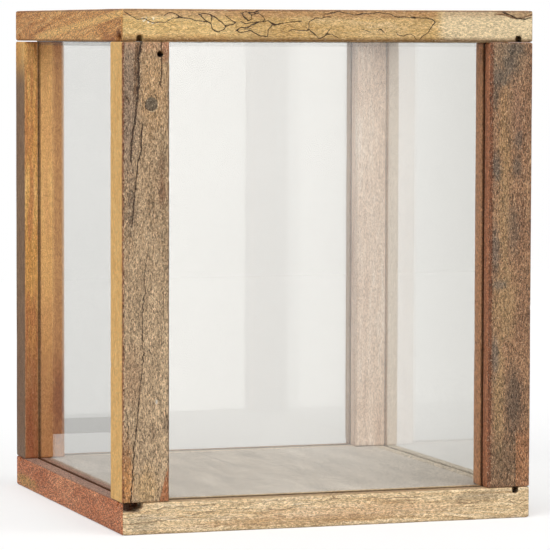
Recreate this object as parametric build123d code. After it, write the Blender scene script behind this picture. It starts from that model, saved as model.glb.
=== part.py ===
"""Display box: a base and a lid mitred from reclaimed boards, four corner posts and five panes.

X runs to the right along the front, Y from front to back and Z up. The origin is on the ground
under the middle of the box. Sizes are in millimetres.
"""

import os

from build123d import *

os.makedirs("parts", exist_ok=True)

# Outside of the box
box_width = 336.0
box_depth = 320.0

# Boards of the two mitred frames
rail_width = 38.0
rail_thickness = 25.0

# Corner posts, each ripped from a board of its own: width along X, depth along Y
post_length = 350.0
front_left_post = (38.0, 32.0)
front_right_post = (37.0, 31.0)
back_left_post = (38.0, 29.0)
back_right_post = (41.0, 31.0)
back_left_shortfall = 0.8

# Wear on the outside corners and arrises of the old wood
corner_wear = 2.0
arris_wear = 1.0
inner_arris_wear = 0.6

# Panes and the saw grooves that hold them
glass_thickness = 4.0
glass_play = 0.5
seamed_edge = 0.4
groove_inset = 10.0
left_groove_inset = 12.0
groove_depth = 5.0
pane_end_gap = 0.5
lid_glass_height = 11.0

# Floor board, flush in a rebate of the base and notched round the posts
floor_thickness = 9.0
floor_lip = 24.0
floor_gap = 0.6

# Countersunk screws that come up through the base into the posts
screw_radius = 2.0
screw_head_radius = 4.0
screw_head_height = 2.4
screw_length = 45.0
screw_tip = 6.0
screw_recess = 0.5
screw_clearance = 0.1
screw_edge = 4.5
drive_length = 4.4
drive_width = 0.9
drive_depth = 1.4

# Loose tongues across the mitres, placed by their distance in from both outer faces
tongue_thickness = 4.0
tongue_length = 12.0
tongue_width = 16.0
tongue_clearance = 0.05
tongue_end_gap = 0.5
base_tongue_place = 13.0
lid_tongue_place = 18.0

# Damage that shows: wood torn out beside two groove ends, and an old nail hole
torn_depth = 6.8
torn_shallow = 4.6
lid_torn_start = 2.5
nail_hole_radius = 2.3
nail_hole_depth = 14.0
nail_hole_across = 30.5
nail_hole_below_lid = 9.0

# Heights and grooves that follow from the sizes above
base_top = rail_thickness
lid_bottom = base_top + post_length
box_height = lid_bottom + rail_thickness
groove_width = glass_thickness + 2 * glass_play
half_groove = groove_width / 2
half_width = box_width / 2
half_depth = box_depth / 2

# Middles of the grooves, by the side of the box they are on
GROOVE_X = {-1: left_groove_inset + half_groove - half_width, 1: half_width - groove_inset - half_groove}
GROOVE_Y = {-1: groove_inset + half_groove - half_depth, 1: half_depth - groove_inset - half_groove}

CORNERS = {
    "front_left": (-1, -1, front_left_post),
    "front_right": (1, -1, front_right_post),
    "back_left": (-1, 1, back_left_post),
    "back_right": (1, 1, back_right_post),
}


def block(x0, x1, y0, y1, z0, z1):
    """A rectangular solid between two corners."""
    size = (x1 - x0, y1 - y0, z1 - z0)
    middle = ((x0 + x1) / 2, (y0 + y1) / 2, (z0 + z1) / 2)
    return Pos(*middle) * Box(*size)


def ring_opening(inset, z0, z1):
    """The block that leaves a ring of the given width when it is cut from the plan of the box."""
    return block(inset - half_width, half_width - inset, inset - half_depth, half_depth - inset, z0, z1)


def corner_block(sx, sy, width, depth, z0, z1):
    """The block that fills one corner of the plan: sx and sy say which corner."""
    middle = (sx * (half_width - width / 2), sy * (half_depth - depth / 2), (z0 + z1) / 2)
    return Pos(*middle) * Box(width, depth, z1 - z0)


def save(node, solid):
    solid.label = node
    export_step(solid, f"parts/{node}.step")


# The maker's way of building: a frame is glued up, then grooved straight through on the saw


def worn_frame(z0, z1):
    """One glued frame before grooving, with worn outside corners and arrises."""
    slab = block(-half_width, half_width, -half_depth, half_depth, z0, z1)
    slab = fillet(slab.edges().filter_by(Axis.Z), corner_wear)
    rims = slab.faces().filter_by(Axis.Z).edges()
    slab = chamfer(rims, arris_wear)
    return slab - ring_opening(rail_width, z0, z1)


def through_grooves(z0, z1):
    """Four saw grooves that cross near the corners and run out through the outer faces."""
    cuts = []
    for x in GROOVE_X.values():
        cuts.append(block(x - half_groove, x + half_groove, -half_depth, half_depth, z0, z1))
    for y in GROOVE_Y.values():
        cuts.append(block(-half_width, half_width, y - half_groove, y + half_groove, z0, z1))
    return cuts


def mitre_sector(side, z0, z1):
    """The four-sided prism that cuts one rail, mitred at both ends, out of a frame."""
    corners = {
        "front": [(-1, -1), (1, -1)],
        "right": [(1, -1), (1, 1)],
        "back": [(1, 1), (-1, 1)],
        "left": [(-1, 1), (-1, -1)],
    }[side]
    outer = [(sx * half_width, sy * half_depth) for sx, sy in corners]
    inner = [(sx * (half_width - rail_width), sy * (half_depth - rail_width)) for sx, sy in corners]
    outline = Polyline(*outer, *reversed(inner), close=True)
    return extrude(Pos(0, 0, z0) * make_face(outline), z1 - z0)


def split_into_rails(frame, z0, z1):
    return {side: frame & mitre_sector(side, z0, z1) for side in ("front", "back", "left", "right")}


# Fixings that hide in the wood


def tongue_seats(place, z):
    """Where the tongues lie: flat across each mitre, centred on its line."""
    for sx, sy, _ in CORNERS.values():
        middle = (sx * (half_width - place), sy * (half_depth - place), z)
        yield Plane(middle, x_dir=(0, 0, 1), z_dir=(sx, -sy, 0))


def tongue_slots(place, z):
    slot = Box(
        tongue_thickness + 2 * tongue_clearance,
        tongue_length + 2 * tongue_end_gap,
        tongue_width + 2 * tongue_end_gap,
    )
    return [seat * slot for seat in tongue_seats(place, z)]


def tongues(place, z):
    tongue = Box(tongue_thickness, tongue_length, tongue_width)
    return Compound(children=[seat * tongue for seat in tongue_seats(place, z)])


def screw_seats():
    """Two screws at each post: one up through the front or back rail, one through a side rail.

    Each stands in the middle of the land between the groove and the floor board.
    """
    for sx, sy, (width, depth) in CORNERS.values():
        x_land = (GROOVE_X[sx] + sx * (half_width - floor_lip - half_groove)) / 2
        y_land = (GROOVE_Y[sy] + sy * (half_depth - floor_lip - half_groove)) / 2
        yield Pos(sx * (half_width - width + screw_edge), y_land, screw_recess)
        yield Pos(x_land, sy * (half_depth - depth + screw_edge), screw_recess)


def revolved(outline):
    return revolve(make_face(Plane.XZ * outline), Axis.Z)


def screw():
    """Countersunk screw standing on its head, with a cross recess for the driver."""
    outline = Polyline(
        (0, 0),
        (screw_head_radius, 0),
        (screw_radius, screw_head_height),
        (screw_radius, screw_length - screw_tip),
        (0, screw_length),
        close=True,
    )
    bar = Box(drive_length, drive_width, 2 * drive_depth)
    return revolved(outline) - bar - Rot(0, 0, 90) * bar


def screw_hole():
    """Countersink and pilot hole, from below the base up to just past the screw's tip."""
    shank = screw_radius + screw_clearance
    mouth = screw_head_radius + screw_clearance
    outline = Polyline(
        (0, -screw_recess),
        (mouth, -screw_recess),
        (mouth, 0),
        (shank, screw_head_height),
        (shank, screw_length + screw_clearance),
        (0, screw_length + screw_clearance),
        close=True,
    )
    return revolved(outline)


def screw_holes():
    hole = screw_hole()
    return [seat * hole for seat in screw_seats()]


# Base: four mitred rails, the floor board in their rebate, tongues and screws


def torn_outline(start, groove, z_edge, up):
    """Outline on an outer face of the wood torn away between the corner and a groove's end."""
    ragged = (start + groove) / 2
    return Polyline(
        (start, z_edge),
        (groove, z_edge),
        (groove, z_edge + up * torn_depth),
        (ragged, z_edge + up * torn_depth),
        (start, z_edge + up * torn_shallow),
        close=True,
    )


def base_rails():
    frame = worn_frame(0, base_top)
    frame -= ring_opening(floor_lip, base_top - floor_thickness, base_top)
    frame -= through_grooves(base_top - groove_depth, base_top)
    frame -= tongue_slots(base_tongue_place, base_top / 2)
    frame -= screw_holes()
    rails = split_into_rails(frame, 0, base_top)
    front_face = Plane((-half_width, -half_depth, 0), x_dir=(1, 0, 0), z_dir=(0, -1, 0))
    outline = torn_outline(0, left_groove_inset, base_top, -1)
    rails["front"] -= extrude(front_face * make_face(outline), -groove_inset)
    return rails


def floor_board():
    inset = floor_lip + floor_gap
    bottom = base_top - floor_thickness
    board = ring_opening(inset, bottom, base_top)
    for sx, sy, (width, depth) in CORNERS.values():
        board -= corner_block(sx, sy, width + floor_gap, depth + floor_gap, bottom, base_top)
    return chamfer(board.faces().sort_by(Axis.Z)[-1].edges(), inner_arris_wear)


# Posts: each has a groove on both of its inner faces


def post(sx, sy, width, depth, top):
    """A corner post, with its outer faces flush with the frames."""
    x_out = sx * half_width
    y_out = sy * half_depth
    x_in = x_out - sx * width
    y_in = y_out - sy * depth
    solid = corner_block(sx, sy, width, depth, base_top, top)
    outer_corner = (x_out, y_out, (base_top + top) / 2)
    arrises = solid.edges().filter_by(Axis.Z).sort_by_distance(outer_corner)
    solid = chamfer(arrises[1:], inner_arris_wear)
    arrises = solid.edges().filter_by(Axis.Z).sort_by_distance(outer_corner)
    solid = fillet(arrises[0], corner_wear)
    solid -= block(
        GROOVE_X[sx] - half_groove,
        GROOVE_X[sx] + half_groove,
        min(y_in, y_in + sy * groove_depth),
        max(y_in, y_in + sy * groove_depth),
        base_top,
        top,
    )
    solid -= block(
        min(x_in, x_in + sx * groove_depth),
        max(x_in, x_in + sx * groove_depth),
        GROOVE_Y[sy] - half_groove,
        GROOVE_Y[sy] + half_groove,
        base_top,
        top,
    )
    return solid - screw_holes()


def posts():
    made = {}
    for name, (sx, sy, (width, depth)) in CORNERS.items():
        top = lid_bottom - (back_left_shortfall if name == "back_left" else 0)
        made[name] = post(sx, sy, width, depth, top)
    nail = Cylinder(nail_hole_radius, nail_hole_depth, rotation=(90, 0, 0))
    place = (
        nail_hole_across - half_width,
        nail_hole_depth / 2 - half_depth,
        lid_bottom - nail_hole_below_lid,
    )
    made["front_left"] -= Pos(*place) * nail
    return made


# Panes: upright ones stand in the grooves and reach up into the lid


def pane(x0, x1, y0, y1, z0, z1):
    sheet = block(x0, x1, y0, y1, z0, z1)
    return chamfer(sheet.edges(), seamed_edge)


def upright_panes():
    z0 = base_top - groove_depth
    z1 = lid_bottom + groove_depth - pane_end_gap
    into_post = groove_depth - pane_end_gap
    half_glass = glass_thickness / 2
    panes = {}
    for name, sy, left, right in (
        ("front", -1, front_left_post, front_right_post),
        ("back", 1, back_left_post, back_right_post),
    ):
        x0 = left[0] - half_width - into_post
        x1 = half_width - right[0] + into_post
        panes[name] = pane(x0, x1, GROOVE_Y[sy] - half_glass, GROOVE_Y[sy] + half_glass, z0, z1)
    for name, sx, near, far in (
        ("left", -1, front_left_post, back_left_post),
        ("right", 1, front_right_post, back_right_post),
    ):
        y0 = near[1] - half_depth - into_post
        y1 = half_depth - far[1] + into_post
        panes[name] = pane(GROOVE_X[sx] - half_glass, GROOVE_X[sx] + half_glass, y0, y1, z0, z1)
    return panes


# Lid: four mitred rails around a pane, grooved below to drop over the upright panes


def lid_rails():
    frame = worn_frame(lid_bottom, box_height)
    glass_z = lid_bottom + lid_glass_height
    frame -= ring_opening(rail_width - groove_depth, glass_z, glass_z + groove_width)
    frame -= through_grooves(lid_bottom, lid_bottom + groove_depth)
    frame -= tongue_slots(lid_tongue_place, lid_bottom + rail_thickness / 2)
    rails = split_into_rails(frame, lid_bottom, box_height)
    left_face = Plane((-half_width, -half_depth, 0), x_dir=(0, 1, 0), z_dir=(1, 0, 0))
    outline = torn_outline(lid_torn_start, groove_inset, lid_bottom, 1)
    rails["left"] -= extrude(left_face * make_face(outline), groove_inset)
    return rails


def lid_glass():
    inset = rail_width - groove_depth + pane_end_gap
    z0 = lid_bottom + lid_glass_height
    return pane(
        inset - half_width,
        half_width - inset,
        inset - half_depth,
        half_depth - inset,
        z0,
        z0 + glass_thickness,
    )


for side, rail in base_rails().items():
    save(f"base_rail_{side}", rail)
for side, rail in lid_rails().items():
    save(f"lid_rail_{side}", rail)
for corner, solid in posts().items():
    save(f"post_{corner}", solid)
for side, sheet in upright_panes().items():
    save(f"glass_{side}", sheet)
save("floor_board", floor_board())
save("lid_glass", lid_glass())
save("base_tongues", tongues(base_tongue_place, base_top / 2))
save("lid_tongues", tongues(lid_tongue_place, lid_bottom + rail_thickness / 2))
one_screw = screw()
save("base_screws", Compound(children=[seat * one_screw for seat in screw_seats()]))
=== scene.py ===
"""Display box of used wood and clear glass, finished and lit for its picture."""

import math

import bmesh
import bpy
import numpy as np
from mathutils import Matrix, Vector, noise


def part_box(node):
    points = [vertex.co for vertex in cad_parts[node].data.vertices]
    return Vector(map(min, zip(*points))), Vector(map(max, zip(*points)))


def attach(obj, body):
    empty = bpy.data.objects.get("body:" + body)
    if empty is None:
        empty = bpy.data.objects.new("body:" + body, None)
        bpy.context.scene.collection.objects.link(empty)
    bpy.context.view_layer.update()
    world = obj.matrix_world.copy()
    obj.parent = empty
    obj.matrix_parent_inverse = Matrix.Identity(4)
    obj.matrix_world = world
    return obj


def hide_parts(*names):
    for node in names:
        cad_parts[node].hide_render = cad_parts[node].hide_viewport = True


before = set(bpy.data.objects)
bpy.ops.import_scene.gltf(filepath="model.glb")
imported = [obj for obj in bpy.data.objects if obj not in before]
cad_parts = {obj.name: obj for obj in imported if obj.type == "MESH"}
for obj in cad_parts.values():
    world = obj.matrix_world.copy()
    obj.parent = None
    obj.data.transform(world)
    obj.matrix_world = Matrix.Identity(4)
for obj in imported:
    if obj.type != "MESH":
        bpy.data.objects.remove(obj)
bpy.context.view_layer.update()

# Base. Four boards of used wood, mitred at the corners and glued, then rebated for the floor and
# grooved for the panes on the saw. The front board is pale with brown growth lines, the left one
# red-brown; the arrises are worn and the wood beside one groove end is torn out.

MM = 0.001
MM_PER_M = 1000.0
FAR_OFF = 99.0
GRAIN = 0.0011
FINE_GRAIN = 0.0009
LEFT_EDGE = -168.0

# Without a seed of its own, noise_vector takes one from the clock
noise.seed_set(1)


class Value:
    """A shader socket that works in Python expressions. Each operation adds its Math node."""

    def __init__(self, shader, socket):
        self.shader = shader
        self.socket = socket

    def __add__(self, other):
        return self.shader.math("ADD", self, other)

    def __radd__(self, other):
        return self.shader.math("ADD", self, other)

    def __sub__(self, other):
        return self.shader.math("SUBTRACT", self, other)

    def __rsub__(self, other):
        return self.shader.math("SUBTRACT", other, self)

    def __mul__(self, other):
        return self.shader.math("MULTIPLY", self, other)

    def __rmul__(self, other):
        return self.shader.math("MULTIPLY", self, other)

    def __truediv__(self, other):
        return self.shader.math("DIVIDE", self, other)

    def __pow__(self, other):
        return self.shader.math("POWER", self, other)

    def __abs__(self):
        return self.shader.math("ABSOLUTE", self)


class Shader:
    """The shader nodes of a material or of the world, its owner."""

    def __init__(self, owner, ending):
        owner.use_nodes = True
        self.owner = owner
        self.ending = ending
        self.tree = owner.node_tree
        self.tree.nodes.clear()

    def node(self, kind, settings=None, inputs=None, output=0):
        """Adds a node and hands back its output, or several of them for a tuple of outputs."""
        made = self.tree.nodes.new("ShaderNode" + kind)
        for key, value in (settings or {}).items():
            if key == "stops":
                self.set_stops(made.color_ramp, value)
            else:
                setattr(made, key, value)
        for key, value in (inputs or {}).items():
            if isinstance(value, Value):
                self.tree.links.new(value.socket, made.inputs[key])
            else:
                made.inputs[key].default_value = value
        if isinstance(output, tuple):
            return [Value(self, made.outputs[one]) for one in output]
        return Value(self, made.outputs[output])

    def set_stops(self, ramp, stops):
        while len(ramp.elements) < len(stops):
            ramp.elements.new(0.5)
        for element, (place, colour) in zip(ramp.elements, stops):
            element.position = place
            element.color = colour

    def math(self, operation, *values):
        return self.node("Math", {"operation": operation}, dict(enumerate(values)))

    def least(self, first, second):
        return self.math("MINIMUM", first, second)

    def most(self, first, second):
        return self.math("MAXIMUM", first, second)

    def rise(self, value, low, high):
        """0 before low and 1 past high, with a soft step between. Low may be the larger."""
        ends = {"Value": value, "From Min": low, "From Max": high}
        return self.node("MapRange", {"interpolation_type": "SMOOTHSTEP"}, ends)

    def between(self, value, low, high, soft):
        return self.rise(value, low - soft, low + soft) * self.rise(value, high + soft, high - soft)

    def noise(self, x, y, z, detail=2.0, rough=0.5, twist=0.0):
        place = self.node("CombineXYZ", inputs={0: x, 1: y, 2: z})
        sockets = {"Vector": place, "Scale": 1.0, "Detail": detail}
        sockets |= {"Roughness": rough, "Distortion": twist}
        return self.node("TexNoise", inputs=sockets)

    def mix(self, share, first, second):
        """A colour between two, first at share 0 and second at 1."""
        return self.node("Mix", {"data_type": "RGBA"}, {0: share, 6: first, 7: second}, output=2)

    def surface(self, seen):
        """Ends the nodes with what is seen, and hands back their owner."""
        out = self.tree.nodes.new("ShaderNode" + self.ending)
        self.tree.links.new(seen.socket, out.inputs["Surface"])
        return self.owner


class Finish(Shader):
    """A material that knows the place on its piece, in millimetres, and which way the face looks."""

    def __init__(self, name):
        super().__init__(bpy.data.materials.new(name), "OutputMaterial")
        place = self.node("TexCoord", output="Object")
        place = self.node("VectorMath", {"operation": "SCALE"}, {0: place, "Scale": MM_PER_M})
        self.x, self.y, self.z = self.node("SeparateXYZ", inputs={0: place}, output=(0, 1, 2))
        facing = self.node("TexCoord", output="Normal")
        self.facing = self.node("SeparateXYZ", inputs={0: facing}, output=(0, 1, 2))

    def bump(self, height):
        """A normal from a height in millimetres."""
        return self.node("Bump", inputs={"Height": height, "Distance": MM, "Strength": 1.0})


def tone(code):
    """The linear colour of a code such as d9b777."""
    channels = [int(code[i : i + 2], 16) / 255 for i in (0, 2, 4)]
    return (*(c / 12.92 if c < 0.04045 else ((c + 0.055) / 1.055) ** 2.4 for c in channels), 1.0)


class OldWood(Finish):
    """Used wood: rings, fibres and blotches that run along one board, and grit worked in all over.

    Ring is the width of a year's growth and pith the tree's middle, both in millimetres. Mixed says
    how strongly the rings, fibres and blotches show. Noise is given in waves to the millimetre.
    """

    def __init__(
        self, name, along, tones, seed,
        ring=3.0, slant=0.0, pith=(70, -50), mixed=(1.2, 1.2, 1.2), gritty=2.6,
    ):
        super().__init__(name)
        x, y, z = self.x, self.y, self.z
        self.across, self.through, self.along = {"X": (z, y, x), "Y": (z, x, y), "Z": (x, y, z)}[along]
        self.seed = seed
        self.gritty = gritty
        across, through, run = self.across, self.through, self.along
        wander = self.noise(across * 0.03 + seed, through * 0.03, run * 0.008, detail=3.0)
        ripple = self.noise(across * 0.15 + seed, through * 0.15, run * 0.03)
        lean = across + run * slant + (wander - 0.5) * 22 + (ripple - 0.5) * 4
        radius = ((lean - pith[0]) ** 2 + (through - pith[1]) ** 2) ** 0.5
        self.rings = self.noise(radius / ring, seed, run * 0.002, detail=3.0, rough=0.6)
        self.fibres = self.noise(lean * 1.5, through * 1.5, run * 0.05 + seed, detail=2.0, rough=0.6)
        place = {0: across * 1.7, 1: through * 1.7, 2: run * 0.5 + seed}
        cells = {"Vector": self.node("CombineXYZ", inputs=place), "Scale": 1.0}
        speck = self.node("SeparateXYZ", inputs={0: self.node("TexVoronoi", inputs=cells, output="Color")})
        fine = self.noise(across * 1.8, through * 1.8, run * 0.9 + seed, detail=1.0)
        self.grit = (speck - 0.5) * 0.45 + (fine - 0.5) * 0.9 + 0.5
        self.blotch = self.noise(across * 0.05 + seed, through * 0.05, run * 0.014, detail=3.0)
        shade = (self.grit - 0.5) * 0.35 + 0.5
        for part, share in zip((self.rings, self.fibres, self.blotch), mixed):
            shade = (part - 0.5) * share + shade
        stops = [(0.1 + 0.8 * i / (len(tones) - 1), tone(code)) for i, code in enumerate(tones)]
        self.colour = self.node("ValToRGB", {"stops": stops}, {0: shade})
        self.height = self.fibres * 0.25 + self.grit * 0.14 + self.rings * 0.12
        self.roughness = 0.62 + (self.grit - 0.5) * 0.3

    def stain(self, share, code):
        """Mixes one more colour in, by the share of it at each place."""
        self.colour = self.mix(share, self.colour, tone(code))

    def patch(self, run, across, long, wide, soft=0.5):
        """A ragged spot centred on the given place along and across the board."""
        far = (((self.along - run) / long) ** 2 + ((self.across - across) / wide) ** 2) ** 0.5
        shifted = self.across * 0.16 + self.seed
        ragged = self.noise(shifted, self.through * 0.1, self.along * 0.1, detail=4.0, rough=0.7)
        return self.rise(far + (ragged - 0.5) * 1.8 + (self.grit - 0.5) * 0.5, 1.0 + soft, 1.0 - soft)

    def stored(self, name):
        return self.node("Attribute", {"attribute_name": name}, output="Fac")

    def lines(self, code, share, width):
        """Draws the lines that worn_board stored on this board."""
        side, near = self.stored("line_side"), self.stored("line_near")
        shake = self.noise(self.x * 0.7, self.y * 0.7, self.z * 0.7 + self.seed, detail=2.0) - 0.5
        swell = self.noise(self.x * 0.12, self.y * 0.12, self.z * 0.12 + self.seed)
        reach = (0.35 + swell * 1.3) * width
        drawn = self.rise(abs(side + shake * 1.2) / reach, 1.0, 0.5) * self.rise(near, 3.2, 2.0)
        self.stain(drawn * share, code)

    def done(self, pored=0.5, flecked=0.35):
        """Dark pores and pale flecks, then the grit, then the finished surface."""
        across, through, run = self.across, self.through, self.along
        pores = self.noise(across * 1.7, through * 1.7, run * 0.36 + self.seed, detail=1.0)
        pores = self.rise(pores, 0.6, 0.68)
        flecks = self.noise(across * 1.7 + 40, through * 1.7, run * 0.6 + self.seed, detail=1.0)
        self.stain(pores * pored, "3f2a1b")
        self.stain(self.rise(flecks, 0.62, 0.7) * flecked, "f3e2c0")
        worked = self.most(0.3, 1 + (self.grit - 0.5) * self.gritty)
        colour = self.node("VectorMath", {"operation": "SCALE"}, {0: self.colour, "Scale": worked})
        sockets = {"Base Color": colour, "Roughness": self.roughness}
        sockets |= {"Normal": self.bump(self.height - pores * 0.12), "Specular IOR Level": 0.2}
        return self.surface(self.node("BsdfPrincipled", inputs=sockets))


def nearest_line(spots, lines):
    """How far spots lie from the nearest line, in half widths, and how deep that line is cut.

    The distance comes twice: first with a minus sign on one side of the line, then without.
    """
    near = np.full(len(spots), FAR_OFF)
    side = np.full(len(spots), FAR_OFF)
    depth = np.zeros(len(spots))
    for half, deep, points in lines:
        for start, end in zip(points, points[1:]):
            way = np.subtract(end, start)
            off = spots - start
            share = np.clip(off @ way / max(way @ way, 1e-9), 0, 1)
            gap = off - share[:, None] * way
            far = np.hypot(gap[:, 0], gap[:, 1]) / half
            turn = np.where(way[0] * off[:, 1] > way[1] * off[:, 0], 1, -1)
            closer = far < near
            near[closer] = far[closer]
            side[closer] = (far * turn)[closer]
            depth[closer] = deep
    return side, near, depth


def finely_meshed(node, grain):
    """A copy of a board as packed, meshed finely enough to carry wear."""
    source = bmesh.new()
    source.from_mesh(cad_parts[node].data)
    bmesh.ops.remove_doubles(source, verts=source.verts, dist=1e-6)
    data = bpy.data.meshes.new("worn_" + node)
    source.to_mesh(data)
    source.free()
    piece = bpy.data.objects.new("worn_" + node, data)
    bpy.context.scene.collection.objects.link(piece)
    remesh = piece.modifiers.new("fine", "REMESH")
    remesh.mode = "VOXEL"
    remesh.voxel_size = grain
    remesh.use_smooth_shade = True
    ready = piece.evaluated_get(bpy.context.evaluated_depsgraph_get())
    fine = bpy.data.meshes.new_from_object(ready)
    piece.modifiers.clear()
    piece.data = fine
    fine.name = piece.name
    return piece


LEAST_WORN = 0.3
MOST_WORN = 6.0


def worn_edge_radius(run, ends, way, wear):
    """How far an arris is worn back at one place along it, in millimetres; way tells arrises apart."""
    slow = noise.noise((run * 0.035, way, 0.0))
    quick = noise.noise((run * 0.22, way, 4.0))
    chip = max(0.0, noise.noise((run * 0.09, way, 9.0)) - 0.38)
    radius = wear * (0.9 + 0.7 * slow + 0.5 * quick + 0.5 * ends) + 7.0 * wear * chip
    return max(LEAST_WORN, min(MOST_WORN, radius))


ARRIS_REACH = 7.0
END_REACH = 3.0
SKIN = 0.8
FRONT_DEPTH = 2.5
MEAN_HOLLOW = 0.12
LINE_WOBBLE = 0.9


def worn_board(node, along, body, wear=1.0, lines=(), torn=None, grain=GRAIN):
    """A finely meshed board with uneven arrises and hollows, and with lines or cracks on its front.

    A line is half its width, its depth and its points. Torn holds the two corners of a block, in
    which the wood is roughened, and how far it moves.
    """
    piece = finely_meshed(node, grain)
    data = piece.data
    length = "XYZ".index(along)
    first, second = (axis for axis in range(3) if axis != length)
    low, high = (Vector(corner) * MM_PER_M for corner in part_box(node))
    seed = sum(ord(letter) for letter in node) * 0.37
    spots = []
    for vertex in data.vertices:
        shaken = noise.noise_vector(vertex.co * 220)
        spots.append([vertex.co[i] * MM_PER_M + shaken[i] * LINE_WOBBLE for i in (0, 2)])
    side, near, deep = nearest_line(np.array(spots), lines)
    for vertex in data.vertices:
        place = vertex.co * MM_PER_M
        run = place[length]
        depth = {axis: min(place[axis] - low[axis], high[axis] - place[axis]) for axis in (first, second)}
        turned = {axis: 1 if place[axis] * 2 < low[axis] + high[axis] else -1 for axis in (first, second)}
        if max(depth.values()) < ARRIS_REACH:
            ends = math.exp(-min(run - low[length], high[length] - run) / END_REACH)
            which = 11.0 * turned[first] + 5.0 * turned[second]
            radius = worn_edge_radius(run, ends, which + seed, wear)
            across, inward = radius - depth[first], radius - depth[second]
            spread = math.hypot(across, inward)
            if across > 0 and inward > 0 and spread > radius:
                depth[first] = radius - across * radius / spread
                depth[second] = radius - inward * radius / spread
        faces_front = depth.get(1, FAR_OFF) < FRONT_DEPTH and turned[1] > 0
        for axis in (first, second):
            if depth[axis] < SKIN:
                hollow = noise.noise((place.x * 0.03 + seed, place.y * 0.03, place.z * 0.03))
                depth[axis] += MEAN_HOLLOW * (1 + hollow)
                if axis == 1 and faces_front:
                    depth[axis] += deep[vertex.index] * max(0.0, 1 - near[vertex.index])
            edge = low[axis] if turned[axis] > 0 else high[axis]
            place[axis] = edge + turned[axis] * depth[axis]
        if not faces_front:
            side[vertex.index] = near[vertex.index] = FAR_OFF
        if torn and all(torn[0][i] < place[i] < torn[1][i] for i in range(3)):
            rough = noise.noise_vector(place * 0.9 + Vector((seed, 0, 0)))
            place += Vector([abs(rough[i]) * torn[2][i] for i in range(3)])
        vertex.co = place * MM
    if lines:
        for name, values in (("line_side", side), ("line_near", near)):
            data.attributes.new(name, "FLOAT", "POINT").data.foreach_set("value", values)
    data.update()
    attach(piece, body)
    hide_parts(node)
    return piece


def clad(piece, material):
    """Gives a piece its one material."""
    piece.data.materials.clear()
    piece.data.materials.append(material)


def on_front(points):
    """Points of (distance from the left edge, height) as x and z in millimetres."""
    return [(LEFT_EDGE + across, height) for across, height in points]


GROWTH_LINES = (
    (0.35, [(0.5, 8.5), (18, 9.5), (38, 11), (54, 13.5), (72, 16), (92, 17.5)]),
    (0.45, [(28, 18.5), (34, 20.5), (41, 20), (50, 21), (60, 20.5), (74, 21)]),
    (0.3, [(2, 13), (16, 14.5), (32, 15.5)]),
    (0.45, [(118, 15.5), (123, 15), (131, 15)]),
    (0.3, [(131, 15), (146, 17.5), (163, 20), (176, 21.5)]),
    (0.7, [(171, 22.6), (172.5, 21.4)]),
    (0.4, [(196, 20), (204, 21.5), (213, 20), (226, 20.5), (243, 20)]),
    (0.4, [(276, 14.5), (282, 13.6), (292, 14)]),
    (0.6, [(319, 14), (322, 12)]),
    (0.5, [(327, 11), (330, 12.5)]),
)
front = worn_board(
    "base_rail_front", "X", "box", wear=0.9, grain=FINE_GRAIN,
    torn=((-168, -160, 18), (-155, -148, 25), (0.6, 1.0, -0.3)),
    lines=[(half, 0.0, on_front(points)) for half, points in GROWTH_LINES],
)
pale = OldWood(
    "pale board, brown growth lines", "X", ["b3916a", "d7b98e", "e8cfa7", "f4e2c4"], 3.0,
    ring=2.2, slant=0.03, pith=(-40, -190), mixed=(1.3, 1.1, 0.7), gritty=1.3,
)
on_front_face = pale.rise(pale.facing[1], -0.3, -0.8)
pale.stain(pale.rise(pale.rings, 0.57, 0.64) * 0.4, "9b7145")
low_band = pale.patch(-20.0, 6.0, 90.0, 3.6, 0.3)
pale.stain(low_band * on_front_face * 0.45, "a97c4e")
pale.stain(pale.patch(-151.0, 8.5, 11.0, 6.5) * on_front_face * 0.5, "9c8a70")
pale.stain(pale.patch(122.0, 18.5, 22.0, 4.5) * on_front_face * 0.5, "83694b")
pale.stain(pale.patch(20.0, 12.0, 80.0, 5.0) * on_front_face * 0.25, "d3a583")
pale.stain(pale.rise(pale.facing[2], 0.4, 0.9) * pale.rise(pale.y, -148.0, -150.0) * 0.6, "8a6848")
pale.lines("694527", share=0.65, width=1.1)
# Painted shade darkens the torn-out hollow, and a painted glint makes one white spot in it
shaded_torn_hollow = pale.rise(pale.x, -152.0, -155.0) * pale.rise(pale.z, 17.0, 18.6)
shaded_torn_hollow = shaded_torn_hollow * pale.rise(pale.y, -146.0, -149.0)
pale.stain(shaded_torn_hollow * 0.85, "574536")
torn_glint_far = ((pale.x + 163.8) ** 2 + (pale.z - 20.9) ** 2) ** 0.5
pale.stain(pale.rise(torn_glint_far, 1.3, 0.9) * shaded_torn_hollow, "fbf8f0")
groove_end = pale.between(pale.x, 152.6, 158.4, 0.3) * pale.between(pale.z, 19.4, 24.7, 0.2)
pale.stain(groove_end * (1 - on_front_face) * 0.85, "4b3d2d")
clad(front, pale.done(pored=0.3, flecked=0.25))

left = worn_board("base_rail_left", "Y", "box", wear=1.1)
red = OldWood(
    "red-brown board, slanting grain", "Y", ["86452a", "b26a45", "c98560", "dda67c"], 11.0,
    slant=0.3, pith=(60, -240), mixed=(0.6, 0.9, 1.1), gritty=2.7,
)
red.stain(red.patch(128.0, 6.0, 34.0, 5.0) * 0.6, "b4924e")
red.stain(red.rise(red.facing[2], 0.5, 0.9) * 0.75, "957f74")
red.stain(red.rise(red.z, 23.4, 24.8) * red.rise(red.facing[0], -0.2, -0.7) * 0.45, "5a3424")
# Painted shadow, near black, where the torn-out corner reaches the left face
shaded_torn_end = red.rise(red.y, -149.0, -152.0) * red.rise(red.z, 17.0, 18.6)
red.stain(shaded_torn_end * red.rise(red.x, -167.4, -166.2) * 0.92, "2e211a")
clad(left, red.done(pored=0.3, flecked=0.25))

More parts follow.
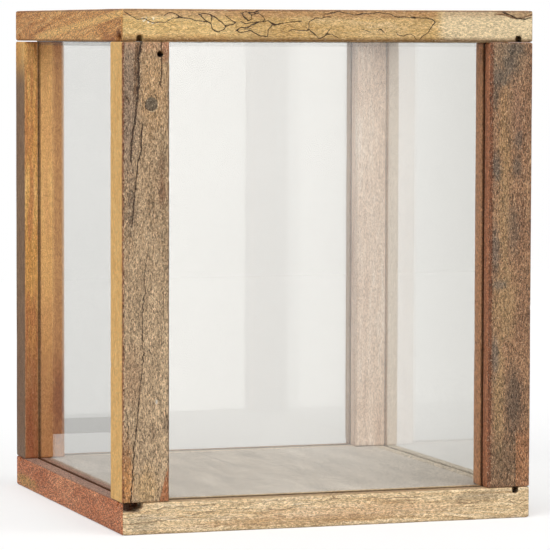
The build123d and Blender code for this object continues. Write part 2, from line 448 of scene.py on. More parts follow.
right = worn_board("base_rail_right", "Y", "box", wear=0.9)
tan = OldWood("tan board", "Y", ["9c7650", "bf9a6c", "d0b083", "dcc39a"], 17.0, ring=2.8, slant=0.05)
tan.stain(tan.rise(tan.z, 10.0, 16.0) * tan.rise(tan.x, 159.5, 158.5) * 0.85, "d2c8b8")
tan.stain(tan.rise(tan.facing[2], 0.5, 0.9) * tan.rise(tan.x, 157.0, 158.0) * 0.8, "ebe3d5")
clad(right, tan.done())

back = worn_board("base_rail_back", "X", "box", wear=0.9)
amber = OldWood("amber board", "X", ["8a5a32", "b07f4c", "c59560", "d3ac78"], 23.0, ring=2.6, slant=0.04)
amber.stain(amber.rise(amber.z, 10.0, 16.0) * amber.rise(amber.y, 152.5, 151.5) * 0.8, "ddd2c0")
clad(back, amber.done())

# Floor board. One thin grey-brown board, dry and faintly grained, let into the base and notched
# round the posts. It has one dark scratch, worn streaks, and pale rings and stripes from rubbing.

dry = OldWood(
    "grey-brown board, dry", "Y", ["a59a8a", "bbaf9f", "c9bdad", "d7cdbe"], 31.0,
    ring=5.0, slant=0.1, pith=(400, -500), mixed=(0.5, 0.9, 1.2), gritty=1.3,
)
worn_streaks = dry.noise(dry.x * 0.07, dry.y * 0.015, 7.0, detail=4.0, rough=0.7)
dry.stain(dry.rise(worn_streaks, 0.48, 0.66) * 0.3, "9d9183")
dry.stain(dry.rise(dry.x, 0.0, 110.0) * 0.35, "dcd8d2")
scratch = abs(dry.x + dry.y * 0.043 + 11.2) + dry.rise(dry.y, 40.0, 5.0)
dry.stain(dry.rise(scratch, 0.8, 0.3) * 0.6, "6b6156")
swirl = ((dry.x + 40) ** 2 + (dry.y - 30) ** 2) ** 0.5
swirl = dry.noise(swirl * 0.6, dry.x * 0.02, dry.y * 0.02, detail=2.0, rough=0.7)
swirl = dry.rise(swirl, 0.56, 0.68) * dry.rise(dry.x, 60.0, -20.0)
dry.stain(swirl * 0.35, "efe8dc")
for turn_x, turn_y, shift, share, code in (
    (0.97, -0.24, -32.0, 0.4, "efe8dc"),
    (0.5, 0.87, 64.0, 0.35, "efe8dc"),
    (0.87, 0.5, -20.0, 0.3, "7a7064"),
    (0.2, 0.98, 100.0, 0.35, "efe8dc"),
):
    rubbed = abs(dry.x * turn_x + dry.y * turn_y + shift)
    broken = dry.noise(dry.x * 0.05, dry.y * 0.05, shift, detail=2.0)
    dry.stain(dry.rise(rubbed, 0.7, 0.2) * dry.rise(broken, 0.5, 0.58) * share, code)
clad(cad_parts["floor_board"], dry.done(pored=0.12, flecked=0.1))

# Posts. Each is ripped from another old board: grey and cracked at the front left, brown with grey
# and gold patches at the front right, orange and red at the back left, pale at the back right.
# The front left one keeps an old nail hole and a grey knot.

DRYING_CRACKS = (
    (1.5, 1.3, [(16, 376), (13.5, 362), (13.5, 345.5), (13, 336)]),
    (1.15, 1.0, [(13, 336), (12.5, 331.5), (10.5, 313.5), (8, 297.5), (7.5, 285)]),
    (0.85, 0.9, [(17, 313.5), (15.5, 305), (15.5, 294), (13.5, 285), (11.5, 270), (10.5, 261), (8, 238)]),
    (0.5, 0.4, [(20, 214.5), (18, 196), (18.5, 187.5), (16.5, 175), (16.5, 165.5), (16.5, 144)]),
    (0.65, 0.9, [(17.5, 140), (16, 123.5), (13.5, 102), (12.5, 86.5), (10, 67), (9, 51), (7, 24)]),
    (0.6, 0.8, [(32, 376), (31.5, 366), (31.5, 363), (31, 341.5)]),
    (0.4, 0.3, [(33, 184.5), (33, 164)]),
    (0.5, 0.3, [(35.5, 94), (36.5, 86), (36, 78)]),
    (0.6, 0.3, [(3.5, 333), (5.5, 331), (6, 329)]),
    (0.4, 0.3, [(22.5, 336.5), (23.5, 334.5)]),
    (0.4, 0.3, [(26.5, 334.5), (27.5, 332.5)]),
    (0.7, 0.5, [(21.5, 141.5), (23, 139.5)]),
    (0.4, 0.3, [(25.5, 107), (28.5, 105.5), (30.5, 102.5)]),
    (0.4, 0.3, [(4, 96), (5, 84), (4.5, 74)]),
)
grey_post = worn_board(
    "post_front_left", "Z", "box", grain=FINE_GRAIN,
    lines=[(half, deep, on_front(points)) for half, deep, points in DRYING_CRACKS],
)
grey = OldWood(
    "grey-brown weathered post", "Z", ["65503b", "92775a", "b09474", "cbb08c"], 41.0,
    ring=3.4, slant=-0.045, pith=(-60, -200), mixed=(0.5, 1.0, 0.5),
)
on_front_face = grey.rise(grey.facing[1], -0.45, -0.8)
for high, across, long, wide, share, code in (
    (335, 5, 60, 9, 0.5, "7f6c60"),
    (340, 25, 34, 11, 0.45, "bd9466"),
    (376, 22, 8, 20, 0.35, "b98566"),
    (371, 35.5, 9, 4, 0.45, "ad6c50"),
    (110, 24, 110, 26, 0.25, "d6bd9c"),
    (250, 8, 20, 4, 0.6, "665344"),
    (282, 32, 9, 3.5, 0.5, "5f4433"),
    (262, 32, 12, 3, 0.5, "70452f"),
    (40, 4, 30, 4.5, 0.75, "bd8146"),
    (36, 20, 14, 9, 0.4, "c29c66"),
    (84, 35, 7, 3, 0.45, "5e4d40"),
    (80, 24, 8, 3, 0.45, "6f5742"),
    (120, 9, 22, 7, 0.35, "8a6448"),
    (60, 4, 14, 2.5, 0.4, "6f5546"),
):
    grey.stain(grey.patch(high, LEFT_EDGE + across, long, wide) * on_front_face * share, code)
wedge = grey.x - (LEFT_EDGE + 29.5) - (grey.z - 24.0) * 0.26
grey.stain(grey.rise(wedge, -0.8, 0.6) * grey.rise(grey.z, 56.0, 46.0) * on_front_face * 0.8, "9c5a33")
left_arris = grey.rise(grey.x + (grey.grit - 0.5) * 2, LEFT_EDGE + 2.6, LEFT_EDGE + 1.0)
grey.stain(left_arris * on_front_face * 0.8, "85492e")
arris_specks = grey.noise(grey.x * 0.5, 9.0, grey.z * 0.5, detail=2.0, rough=0.7)
grey.stain(left_arris * grey.rise(arris_specks, 0.5, 0.6) * on_front_face * 0.8, "3a2418")
streaks = grey.noise(grey.x * 0.9 + grey.z * 0.5, 5.0, grey.z * 0.25 - grey.x * 0.2, detail=2.0, twist=0.8)
scratched = grey.rise(streaks, 0.6, 0.68) * grey.between(grey.z, 200.0, 262.0, 14.0) * on_front_face
grey.stain(scratched * 0.5, "d6c1a0")
knot_far = (((grey.x - LEFT_EDGE - 23.5) / 5.2) ** 2 + ((grey.z - 328.1) / 5.2) ** 2) ** 0.5
knot_far = knot_far + (grey.noise(grey.x * 0.3, 2.0, grey.z * 0.3) - 0.5) * 0.5
grey.stain(grey.rise(knot_far, 1.04, 0.9) * on_front_face * 0.88, "5a5043")
# Painted shade on the knot's lower left rim and a painted highlight on its lower right rim
knot_shaded_rim = grey.rise(grey.x + grey.z, LEFT_EDGE + 352.5, LEFT_EDGE + 347.0)
grey.stain(grey.between(knot_far, 0.84, 1.04, 0.08) * knot_shaded_rim * on_front_face * 0.7, "3c2b1f")
knot_lit_rim = grey.rise(grey.x - grey.z, LEFT_EDGE - 303.0, LEFT_EDGE - 300.0)
grey.stain(grey.between(knot_far, 1.04, 1.16, 0.06) * knot_lit_rim * on_front_face * 0.8, "d8c19c")
# Painted shade: a dark grey line down the right arris below 340 mm, beside the window
right_arris_shade = grey.rise(grey.x, LEFT_EDGE + 36.4, LEFT_EDGE + 37.4) * grey.rise(grey.z, 354.0, 340.0)
grey.stain(right_arris_shade * 0.75, "4d433b")
# A painted highlight: one small white glint on the front face
post_glint_far = ((grey.x - LEFT_EDGE - 27.6) ** 2 + ((grey.z - 101.6) * 0.5) ** 2) ** 0.5
grey.stain(grey.rise(post_glint_far, 1.1, 0.6) * on_front_face, "efe6d6")
grey.height = grey.height * (0.3 + on_front_face * 0.7)
# Painted shadow in a brown band on the left side of the upper crack
beside_crack = grey.stored("line_near")
upper_crack = grey.rise(grey.z, 322.0, 338.0) * grey.rise(grey.x, LEFT_EDGE + 20.0, LEFT_EDGE + 18.0)
shaded_side = grey.rise(grey.x - grey.z * 0.05, LEFT_EDGE - 4.6, LEFT_EDGE - 5.2)
grey.stain(grey.rise(beside_crack, 2.9, 2.3) * shaded_side * upper_crack * on_front_face * 0.8, "61452f")
grey.lines("2a170c", share=0.94, width=0.85)
ochre = grey.mix(grey.rise(grey.fibres, 0.3, 0.7), tone("d9a158"), tone("f8ce88"))
grey.colour = grey.mix(1 - on_front_face, grey.colour, ochre)
grey.stain((1 - on_front_face) * grey.rise(grey.x, LEFT_EDGE + 0.5, LEFT_EDGE + 2.0) * 0.8, "a8835c")
side_edge = grey.rise(grey.facing[0], -0.5, -0.9) * grey.rise(grey.y, -158.2, -159.4)
grey.stain(side_edge * 0.6, "8a5230")
# Painted light lifts the walls of the nail hole, and a painted shadow darkens its lower rim
hole_far = (((grey.x - LEFT_EDGE - 30.5) ** 2) + ((grey.z - 366.0) ** 2)) ** 0.5
grey.stain(grey.rise(hole_far, 3.0, 2.1), "a07850")
grey.stain(grey.between(hole_far, 1.9, 2.7, 0.3) * grey.rise(grey.z, 367.0, 365.5), "1d130c")
grey.gritty = on_front_face * 1.3 + 0.9
pored = on_front_face * 0.3 + 0.05
clad(grey_post, grey.done(pored=pored, flecked=pored))

foot_split = (0.45, 0.6, [(154.2, 67.0), (154.6, 54.2), (155.3, 38.2), (155.4, 24)])
brown_post = worn_board("post_front_right", "Z", "box", lines=[foot_split])
brown = OldWood(
    "brown post, grey and gold patches", "Z", ["65483a", "88654d", "a07b5c", "b8986f"], 53.0,
    ring=4.0, pith=(320, -260), mixed=(0.35, 0.6, 0.7), gritty=2.4,
)
front_brown = brown.rise(brown.facing[1], -0.45, -0.8)
for high, across, long, wide, code, share in (
    (169, 145, 26, 10, "ab8d64", 0.55),
    (98, 141, 46, 5, "ab8d64", 0.55),
    (240, 144, 50, 5, "ab8d64", 0.45),
    (310, 146, 40, 6, "ad8a5c", 0.4),
    (362, 146, 17, 17, "857560", 0.5),
    (371, 152, 5, 8, "5a5148", 0.75),
    (358, 148, 9, 6, "5d554c", 0.7),
    (347, 139, 9, 7, "5d554c", 0.7),
    (331, 136, 8, 3, "54493f", 0.7),
    (322, 152, 30, 6, "7c5f52", 0.35),
    (298, 156, 7, 3.5, "5d554c", 0.55),
    (277, 137.5, 11, 4, "54504a", 0.7),
    (278, 155, 9, 3.5, "5d554c", 0.6),
    (229, 152, 20, 5, "645a4e", 0.45),
    (214, 137, 18, 4, "5f5a54", 0.6),
    (185, 141, 4, 6, "5f5a54", 0.6),
    (128, 137.5, 16, 3, "66605a", 0.6),
    (93, 153, 27, 7.5, "54493f", 0.7),
    (46, 145, 22, 11, "63513f", 0.65),
):
    brown.stain(brown.patch(high, across, long, wide, 0.6) * front_brown * share, code)
beside_split = brown.rise(brown.x, 155.2, 156.4) * brown.rise(brown.z, 75.0, 60.0)
brown.stain(beside_split * front_brown * 0.5, "a8704a")
flecks = brown.noise(brown.x * 0.7, 8.0, brown.z * 0.6, detail=2.0, rough=0.7)
brown.stain(brown.rise(flecks, 0.6, 0.68) * brown.rise(brown.x, 140.0, 133.0) * front_brown * 0.6, "d0bc98")
brown.stain(brown.rise(brown.x + brown.grit * 1.5, 136.0, 134.6) * front_brown * 0.85, "70432e")
brown.stain(brown.rise(brown.x, 166.6, 167.4) * brown.between(brown.z, 245.0, 300.0, 6.0) * 0.6, "54493f")
brown.stain((1 - front_brown) * 0.8, "c8926a")
land = (1 - front_brown) * brown.rise(brown.y, -149.6, -150.2)
brown.stain(land * 0.7, "96583c")
brown.stain(land * brown.between(brown.y, -155.5, -152.5, 0.8) * 0.3, "6b3a26")
brown.lines("2c1d14", share=0.85, width=0.8)
clad(brown_post, brown.done(pored=0.35, flecked=0.25))

orange_post = worn_board("post_back_left", "Z", "box")
orange = OldWood(
    "orange and red post", "Z", ["bd7f3f", "d69c57", "e4b26c", "f0ca8c"], 61.0,
    ring=4.0, pith=(-300, 300), mixed=(0.5, 0.7, 0.9), gritty=1.1,
)
outer_face = orange.rise(orange.facing[0], -0.45, -0.8)
lip = orange.rise(orange.x, -156.2, -156.8) * (1 - outer_face)
land = (1 - lip) * (1 - outer_face)
mottle = orange.noise(orange.x * 0.2, 3.0, orange.z * 0.018, detail=3.0)
orange.stain(orange.rise(mottle, 0.44, 0.6) * lip * 0.6, "b8704a")
orange.stain(land * 0.85, "ffcb8a")
orange.stain(orange.rise(orange.z, 190.0, 70.0) * lip * 0.8, "8a4a34")
orange.stain(orange.rise(orange.x, -140.5, -138.0) * land * 0.35, "d99a5c")
orange.stain(orange.rise(orange.z, 200.0, 60.0) * (1 - lip) * 0.65, "b97c4e")
weathered = orange.mix(orange.rise(orange.fibres, 0.35, 0.65), tone("624c3e"), tone("88705d"))
orange.colour = orange.mix(outer_face * orange.rise(orange.z, 370.0, 335.0) * 0.9, orange.colour, weathered)
orange.stain(orange.patch(72.0, -136.0, 32.0, 6.0) * land * 0.55, "86492f")
clad(orange_post, orange.done(pored=0.12, flecked=0.1))

light_post = worn_board("post_back_right", "Z", "box")
light = OldWood(
    "pale brown post", "Z", ["c4a48e", "e0c6b0", "ecd5c0", "f6e8da"], 71.0,
    ring=4.0, pith=(300, 300), mixed=(0.7, 0.8, 1.0), gritty=0.6,
)
bleached = light.rise(light.x, 157.0, 159.0) * light.rise(light.facing[1], -0.3, -0.8)
light.stain(bleached * 0.95, "fff6ea")
clad(light_post, light.done(pored=0.12, flecked=0.1))

# Screws. Zinc-plated steel with countersunk heads, driven up through the base into the posts, two
# at the foot of each.

zinc = Finish("zinc-plated steel")
spangle = zinc.noise(zinc.x * 1.2, zinc.y * 1.2, zinc.z * 1.2)
brushed = zinc.noise(zinc.x * 9.0, zinc.y * 9.0, zinc.z * 2.0)
dull = zinc.mix(zinc.rise(spangle, 0.35, 0.7), tone("9d9b93"), tone("c4c3bd"))
zinc_sockets = {"Base Color": dull, "Metallic": 1.0, "Roughness": 0.32 + spangle * 0.2}
zinc_sockets["Normal"] = zinc.bump(brushed * 0.03)
clad(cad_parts["base_screws"], zinc.surface(zinc.node("BsdfPrincipled", inputs=zinc_sockets)))

# Panes. Clear float glass 4 mm thick with seamed edges, standing in the grooves of the base and
# posts and reaching into the lid; a fifth one closes the lid. Along the grooves lie dirt and painted
# shadow of the groove gaps, and a grey band lies on two panes just under the lid.

GREY_BAND_EDGE = (371.0, 372.0)


def between_pieces(first, second, axis):
    """The free space between two pieces along an axis, as its two ends in millimetres."""
    low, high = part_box(first)[1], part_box(second)[0]
    return [round(getattr(end, axis) * MM_PER_M, 1) for end in (low, high)]


def clear_glass(name, tint_and_shade, neighbours, reach, share, grey_band):
    """Clear glass with dirt and painted shadow along its edges, where it goes into the neighbours given for
    two axes.
    """
    glass = Finish(name)
    inside = FAR_OFF
    for axis, (first, second) in neighbours.items():
        low, high = between_pieces(first, second, axis)
        across = getattr(glass, axis)
        inside = glass.least(inside, glass.least(across - low, high - across))
    ragged = glass.noise(glass.x * 0.4, glass.y * 0.4, glass.z * 0.4, detail=3.0, rough=0.7)
    # Dirt and painted shadow of the groove gap, in a ragged band along the edges
    grime_and_shade = glass.rise(inside + (ragged - 0.5) * 1.4, reach + 0.5, reach - 0.3)
    smear = glass.noise(glass.x * 0.02, glass.y * 0.02, glass.z * 0.035, detail=4.0, twist=1.5)
    sockets = {"Base Color": tone(tint_and_shade), "Roughness": 0.0, "IOR": 1.5, "Transmission Weight": 1.0}
    clear = glass.node("BsdfPrincipled", inputs=sockets)
    dust = glass.node("BsdfDiffuse", inputs={"Color": tone("e8e6df")})
    dirt_and_shade = glass.node("BsdfDiffuse", inputs={"Color": tone("4a3222")})
    grey_film = glass.node("BsdfDiffuse", inputs={"Color": tone("8c8f8e")})
    seen = glass.node("MixShader", inputs={0: glass.rise(smear, 0.6, 0.8) * 0.015, 1: clear, 2: dust})
    seen = glass.node("MixShader", inputs={0: grime_and_shade * share, 1: seen, 2: dirt_and_shade})
    # A grey film over the panes from 371 mm up, just under the lid
    seen = glass.node("MixShader", inputs={0: glass.rise(glass.z, *GREY_BAND_EDGE) * grey_band, 1: seen, 2: grey_film})
    passing = glass.node("BsdfTransparent", inputs={"Color": tone("fbfbfa")})
    shadow, diffuse = glass.node("LightPath", output=("Is Shadow Ray", "Is Diffuse Ray"))
    lamps = glass.most(shadow, diffuse)
    return glass.surface(glass.node("MixShader", inputs={0: lamps, 1: seen, 2: passing}))


UPRIGHT = ("base_rail_front", "lid_rail_front")
LID_SIDES = ("lid_rail_left", "lid_rail_right")
LID_ENDS = ("lid_rail_front", "lid_rail_back")
# Each tint is the glass's own colour with painted shade added, darkest on the back pane, so what is seen
# through a pane is greyer
for name, tint_and_shade, neighbours, reach, share, grey_band in (
    ("glass_front", "f2f1ee", {"x": ("post_front_left", "post_front_right"), "z": UPRIGHT}, 0.3, 0.6, 0.07),
    ("glass_back", "d7d6d3", {"x": ("post_back_left", "post_back_right"), "z": UPRIGHT}, 0.3, 0.2, 0.0),
    ("glass_left", "f8f8f6", {"y": ("post_front_left", "post_back_left"), "z": UPRIGHT}, 0.4, 0.6, 0.2),
    ("glass_right", "eeeeec", {"y": ("post_front_right", "post_back_right"), "z": UPRIGHT}, 0.2, 0.12, 0.0),
    ("lid_glass", "f4f4f2", {"x": LID_SIDES, "y": LID_ENDS}, 0.4, 0.5, 0.0),
):
    look = clear_glass("clear " + name.replace("_", " "), tint_and_shade, neighbours, reach, share, grey_band)
    clad(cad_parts[name], look)

# Lid. Four more boards, mitred and glued round their pane, grooved below to drop over the upright
# panes. The front board is pale spalted wood, crossed by the dark wandering lines that decay draws.

SPALT_LINES = (
    (0.55, [(3, 397), (11.5, 392), (18.5, 392.5), (25, 389), (34, 390), (40.5, 393), (46.5, 393),
            (54.5, 392), (60.5, 391), (67, 390)]),
    (0.5, [(34, 395.5), (37, 397), (42, 396.5), (45.5, 393.5), (40.5, 393)]),
    (0.7, [(61, 396), (65, 396.5), (70.5, 395.5), (76, 392.5), (81.5, 388), (83, 387.5), (81, 384.5),
           (76, 382.5), (71.5, 384.5), (71, 388.5), (65, 392), (61, 396)]),
    (0.5, [(71, 395.5), (71, 391.5)]),
    (0.6, [(82.5, 395), (86.5, 391.5), (91, 390), (87.5, 388), (83, 387.5)]),
    (0.6, [(95, 397), (99, 398), (105, 397.5), (109, 398.5)]),
    (0.6, [(95, 397), (96.5, 394), (100, 391), (103.5, 392.5), (103.5, 396), (99.5, 397.5)]),
    (0.6, [(103.5, 396), (109, 396.5), (113, 394.5), (114, 392), (110.5, 390.5), (105, 390), (99, 389),
           (95, 390)]),
    (0.7, [(91, 384), (95.5, 386), (101.5, 386.5), (106, 389.5), (116.5, 391), (119, 389.5)]),
    (1.0, [(119, 389.5), (122, 388.5), (126, 389)]),
    (0.6, [(126, 389), (131.5, 390), (143, 391)]),
    (0.55, [(91, 384), (93.5, 382), (101.5, 384), (106, 381.5), (110.5, 379), (116.5, 379.5),
            (116.5, 383.5), (117.5, 386), (119.5, 387.5)]),
    (0.6, [(166.5, 394.5), (160, 393.5), (154.5, 393.5), (150, 390), (149, 385.5), (153.5, 382),
           (158, 377.5), (161.5, 379.5), (166.5, 384.5)]),
    (0.5, [(133.5, 383.5), (139.5, 384.5), (148.5, 383.5)]),
    (0.55, [(162.5, 396.5), (174, 398.5), (187.5, 396), (195, 396.5), (200, 398), (209, 398),
            (216.5, 396.5), (220, 394.5), (228, 395), (234, 394)]),
    (1.1, [(234, 394), (237, 394)]),
    (0.6, [(237, 394), (242.5, 394), (250.5, 393), (253.5, 390), (249.5, 386.5), (248, 382.5),
           (245, 381), (241, 378)]),
    (0.5, [(192.5, 384.5), (196.5, 384), (200, 382.5)]),
    (0.6, [(206.5, 384.5), (208.5, 385), (210.5, 383)]),
    (0.5, [(162.5, 380.5), (168.5, 381), (173, 378.5)]),
    (0.5, [(221, 382.5), (223.5, 380), (233, 381), (237.5, 378)]),
    (0.8, [(310, 399), (317.5, 395.5), (326, 393), (333.5, 394)]),
)
spalted_board = worn_board(
    "lid_rail_front", "X", "lid", wear=0.9, grain=FINE_GRAIN,
    lines=[(half * 0.8, 0.0, on_front(points)) for half, points in SPALT_LINES],
)
spalt = OldWood(
    "pale spalted board", "X", ["ad8250", "d8b374", "e8c78d", "f6dfb4"], 83.0,
    ring=3.2, slant=0.02, pith=(460, -260), mixed=(0.9, 0.6, 0.8), gritty=1.2,
)
front_spalt = spalt.rise(spalt.facing[1], -0.3, -0.7)
ragged = spalt.noise(spalt.x * 0.1, 4.0, spalt.z * 0.2, detail=4.0, rough=0.7) - 0.5
browner = spalt.between(spalt.x + ragged * 20, -80.0, 86.0, 14.0)
spalt.stain(browner * front_spalt * 0.3, "9c6f3c")
top_zone = spalt.rise(spalt.z + ragged * 9, 392.0, 396.0) * spalt.rise(spalt.x, 92.0, 84.0)
spalt.stain(top_zone * front_spalt * 0.55, "a9754f")
low_zone = spalt.rise(spalt.z + ragged * 8, 382.0, 379.0) * spalt.rise(spalt.x + ragged * 20, -70.0, -90.0)
spalt.stain(low_zone * front_spalt * 0.45, "ba864e")
plain = spalt.rise(spalt.x + ragged * 8, 84.0, 96.0)
spalt.stain(plain * front_spalt * 0.6, "ecdab8")
spalt.stain(plain * spalt.rise(spalt.z + ragged * 8, 393.0, 397.0) * front_spalt * 0.4, "b28c68")
bark_edge = 396.2 - spalt.between(spalt.x, 147.0, 162.0, 7.0) * 3.2
bark = spalt.rise(spalt.z - bark_edge + ragged * 1.5, -0.3, 0.5) * spalt.rise(spalt.x, 133.0, 139.0)
spalt.stain(bark * front_spalt * 0.6, "a9845c")
bark_line = spalt.between(spalt.z - bark_edge + ragged * 1.5, 0.2, 1.4, 0.4)
spalt.stain(bark_line * spalt.rise(spalt.x, 133.0, 139.0) * front_spalt * 0.85, "6d482e")
spalt.stain(spalt.rise(spalt.z + ragged * 2, 398.0, 399.2) * front_spalt * 0.75, "6e4b3c")
# Painted shadow along the bottom edge of the front face
spalt.stain(spalt.rise(spalt.z + ragged * 4, 380.0, 375.8) * front_spalt * 0.8, "68421f")
specks = spalt.noise(spalt.x * 0.75, 2.0, spalt.z * 0.9, detail=2.0, rough=0.7)
spalt.stain(spalt.rise(specks, 0.63, 0.69) * front_spalt * 0.55, "774c26")
filled = spalt.noise(spalt.x * 0.5, 6.0, spalt.z * 0.5, detail=1.0)
beside = spalt.patch(-147.0, 391.0, 9.0, 3.0, 0.3)
spalt.stain(spalt.rise(filled, 0.58, 0.64) * beside * front_spalt * 0.9, "f7efda")
spalt.lines("27140a", share=0.97, width=1.0)
# Painted shade, near black, in the slots at the side panes, on all but the front face
shaded_groove_mouth = spalt.rise(abs(abs(spalt.x) - 155.5), 3.2, 2.8) * spalt.rise(spalt.z, 383.2, 382.4)
spalt.stain(shaded_groove_mouth * (1 - front_spalt) * 0.9, "1c120b")
clad(spalted_board, spalt.done(pored=0.22, flecked=0.3))

lid_left = worn_board("lid_rail_left", "Y", "lid")
ginger = OldWood(
    "orange-brown board, slanting grain", "Y", ["9c6337", "c98e54", "deaa6c", "f0c78c"], 97.0,
    ring=3.4, slant=0.16, pith=(500, -240), mixed=(1.2, 1.1, 0.9), gritty=1.9,
)
streak = ginger.z - 387.5 + (ginger.y + 40.0) * 0.075
gold = ginger.between(streak, -2.6, 2.6, 1.6) * ginger.rise(ginger.y, 112.0, 60.0)
ginger.stain(gold * 0.7, "edc07a")
ginger.stain(ginger.rise(ginger.y, 60.0, 130.0) * 0.35, "b26f44")
ginger.stain(ginger.patch(-151.0, 380.0, 6.0, 4.0) * 0.7, "5f3220")
ginger.stain(ginger.patch(-128.0, 378.0, 22.0, 3.0) * 0.45, "a05a34")
on_left_face = ginger.rise(ginger.facing[0], -0.2, -0.7)
ginger.stain(ginger.rise(ginger.z, 397.8, 399.4) * on_left_face * 0.7, "5f4132")
# Painted shadow along the bottom edge of the left face
ginger.stain(ginger.rise(ginger.z, 377.0, 375.6) * on_left_face * 0.6, "6d4428")
clad(lid_left, ginger.done(pored=0.3, flecked=0.25))

lid_right = worn_board("lid_rail_right", "Y", "lid")
sand = OldWood("sand-coloured board", "Y", ["93714a", "b8946a", "c9a97e", "d7bd96"], 101.0, slant=0.06)
clad(lid_right, sand.done())

lid_back = worn_board("lid_rail_back", "X", "lid")
umber = OldWood("umber board", "X", ["5f452f", "80603f", "967450", "ab8a62"], 113.0, slant=0.05)
clad(lid_back, umber.done())

# Tongues. Flat slips of planed beech, glued into slots across every mitre of the base and of the
# lid, where the wood hides them.

planed = OldWood("planed beech", "X", ["b99468", "caa77a", "d6b78c", "e0c59e"], 127.0, ring=2.0)
planed_beech = planed.done()
for name in ("base_tongues", "lid_tongues"):
    clad(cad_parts[name], planed_beech)

# Studio. A pale floor under a white surround, and two wide soft lamps from the front. Eight cards
# show only in mirror images, so the panes catch them: bright ones in front of the box and darker
# ones behind it and on its left. The camera stands where the photographer stood.

WHITE = (1.0, 1.0, 1.0, 1.0)
FLOOR_GLOW = 0.42
SURROUND_LIGHT = 0.45
SUN_WIDTH = math.radians(50)
CARD_TOP = 0.28
FADE_START, FADE_END = 0.04, 0.26

# The camera, fitted to the corners of the box in the photo
CAMERA_PLACE = (-0.89548, -2.66041, 0.38055)
CAMERA_ANGLES = (18.7737, 3.9847, -0.1516)
LENS_LENGTH = 225.705

# The fewest and most panes between a card and the camera for it to show
FIRST_PANE, INNER_PANES, ANY_PANE = (0, 1), (2, 9), (0, 9)


def sheet_object(name, wide, high, turn, place):
    """A flat sheet, made lying down, then turned about X and moved."""
    mesh = bmesh.new()
    bmesh.ops.create_grid(mesh, x_segments=1, y_segments=1, size=0.5)
    bmesh.ops.scale(mesh, verts=mesh.verts, vec=(wide, high, 1.0))
    bmesh.ops.rotate(mesh, verts=mesh.verts, matrix=Matrix.Rotation(math.radians(turn), 3, "X"))
    bmesh.ops.translate(mesh, verts=mesh.verts, vec=place)
    data = bpy.data.meshes.new(name)
    mesh.to_mesh(data)
    mesh.free()
    made = bpy.data.objects.new(name, data)
    bpy.context.scene.collection.objects.link(made)
    return made


studio_floor = sheet_object("floor", 5.0, 5.0, 0, (0.0, 0.0, 0.0))
paper = Finish("pale floor")
camera_ray, glossy_ray, through_ray = paper.node(
    "LightPath", output=("Is Camera Ray", "Is Glossy Ray", "Is Transmission Ray")
)
shown = paper.most(camera_ray, paper.most(glossy_ray, through_ray))
glow = paper.node("Emission", inputs={"Color": WHITE, "Strength": shown * FLOOR_GLOW})
matt = paper.node("BsdfDiffuse", inputs={"Color": (0.6, 0.6, 0.6, 1.0)})
studio_floor.data.materials.append(paper.surface(paper.node("AddShader", inputs={0: glow, 1: matt})))

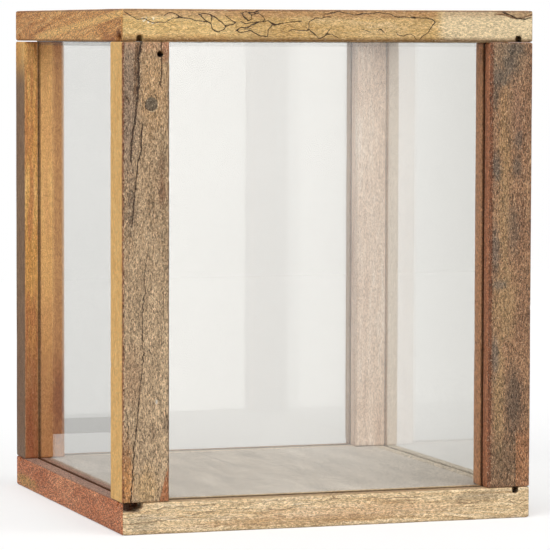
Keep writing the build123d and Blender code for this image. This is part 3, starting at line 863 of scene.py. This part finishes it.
for name, wide, high, turned, place, strength, code, fading, fall_down, panes in (
    ("bright card", 0.9, 0.6, 90, (0.15, -0.37, 0.30), 3.65, "ffffff", 1.0, 3.5, FIRST_PANE),
    ("near card", 0.9, 0.2, 0, (0.15, -0.27, 0.002), 3.65, "ffffff", 1.0, 3.5, FIRST_PANE),
    ("inner card", 1.3, 0.6, 90, (0.30, -0.36, 0.30), 3.3, "ffffff", 0.42, 0.0, INNER_PANES),
    ("pale card", 0.0735, 0.3875, 90, (-0.23175, 0.20, 0.24375), 0.76, "ffffff", 0.0, 0.7, ANY_PANE),
    ("warm card", 0.027, 0.401, 90, (-0.1805, 0.20, 0.237), 0.18, "ffaa9b", 0.0, 0.0, ANY_PANE),
    ("low card", 0.096, 0.0365, 90, (-0.228, 0.20, 0.01825), 0.64, "ffffff", 0.0, 0.0, ANY_PANE),
    ("ground card", 0.13, 0.37, 0, (-0.237, 0.013, 0.002), 0.57, "ffffff", 0.0, 0.0, ANY_PANE),
    ("dim card", 0.5, 0.44, 90, (-0.45, 0.50, 0.22), 0.29, "ffffff", 0.0, 0.0, ANY_PANE),
):
    card = sheet_object(name, wide, high, turned, place)
    mirrored = Finish(name)
    bounced, crossed = mirrored.node("LightPath", output=("Glossy Depth", "Transmission Depth"))
    light = strength - mirrored.most(0, CARD_TOP - mirrored.z * MM) * fall_down
    light = light * (1 - mirrored.rise(mirrored.x * MM, FADE_START, FADE_END) * fading)
    lit = mirrored.node("Emission", inputs={"Color": tone(code), "Strength": light})
    hidden = mirrored.node("BsdfTransparent")
    through = mirrored.between(crossed * 0.5, panes[0] - 0.25, panes[1] + 0.75, 0.1)
    shows = mirrored.rise(bounced, 0.4, 0.6) * through
    shown = mirrored.node("MixShader", inputs={0: shows, 1: hidden, 2: lit})
    card.data.materials.append(mirrored.surface(shown))
    card.visible_camera = False
    card.visible_diffuse = False
    card.visible_shadow = False
    card.visible_volume_scatter = False

for name, azimuth, elevation, strength in (("key", -48, 45, 1.5), ("fill", 40, 42, 1.0)):
    lamp = bpy.data.lights.new(name, "SUN")
    lamp.energy = strength
    lamp.angle = SUN_WIDTH
    holder = bpy.data.objects.new(name, lamp)
    bpy.context.scene.collection.objects.link(holder)
    tilt = Matrix.Rotation(math.radians(90 - elevation), 4, "X")
    holder.matrix_world = Matrix.Rotation(math.radians(azimuth), 4, "Z") @ tilt

world = bpy.context.scene.world or bpy.data.worlds.new("surround")
bpy.context.scene.world = world
surround = Shader(world, "OutputWorld")
camera_ray, glossy_ray, through_ray = surround.node(
    "LightPath", output=("Is Camera Ray", "Is Glossy Ray", "Is Transmission Ray")
)
seen_at_all = surround.most(surround.most(camera_ray, glossy_ray), through_ray)
level = surround.node("MapRange", inputs={"Value": seen_at_all, "To Min": SURROUND_LIGHT, "To Max": 1.0})
surround.surface(surround.node("Background", inputs={"Color": WHITE, "Strength": level}))

yaw, pitch, roll = (math.radians(angle) for angle in CAMERA_ANGLES)
ahead = Vector((math.sin(yaw) * math.cos(pitch), math.cos(yaw) * math.cos(pitch), -math.sin(pitch)))
level_right = Vector((math.cos(yaw), -math.sin(yaw), 0.0))
below = ahead.cross(level_right)
image_right = math.cos(roll) * level_right + math.sin(roll) * below
image_down = math.cos(roll) * below - math.sin(roll) * level_right
lens = bpy.data.cameras.new("camera")
lens.sensor_width = 36.0
lens.lens = LENS_LENGTH
camera = bpy.data.objects.new("camera", lens)
bpy.context.scene.collection.objects.link(camera)
axes = Matrix((image_right, -image_down, -ahead)).transposed().to_4x4()
camera.matrix_world = Matrix.Translation(CAMERA_PLACE) @ axes
bpy.context.scene.camera = camera
bpy.context.scene.view_settings.view_transform = "Standard"
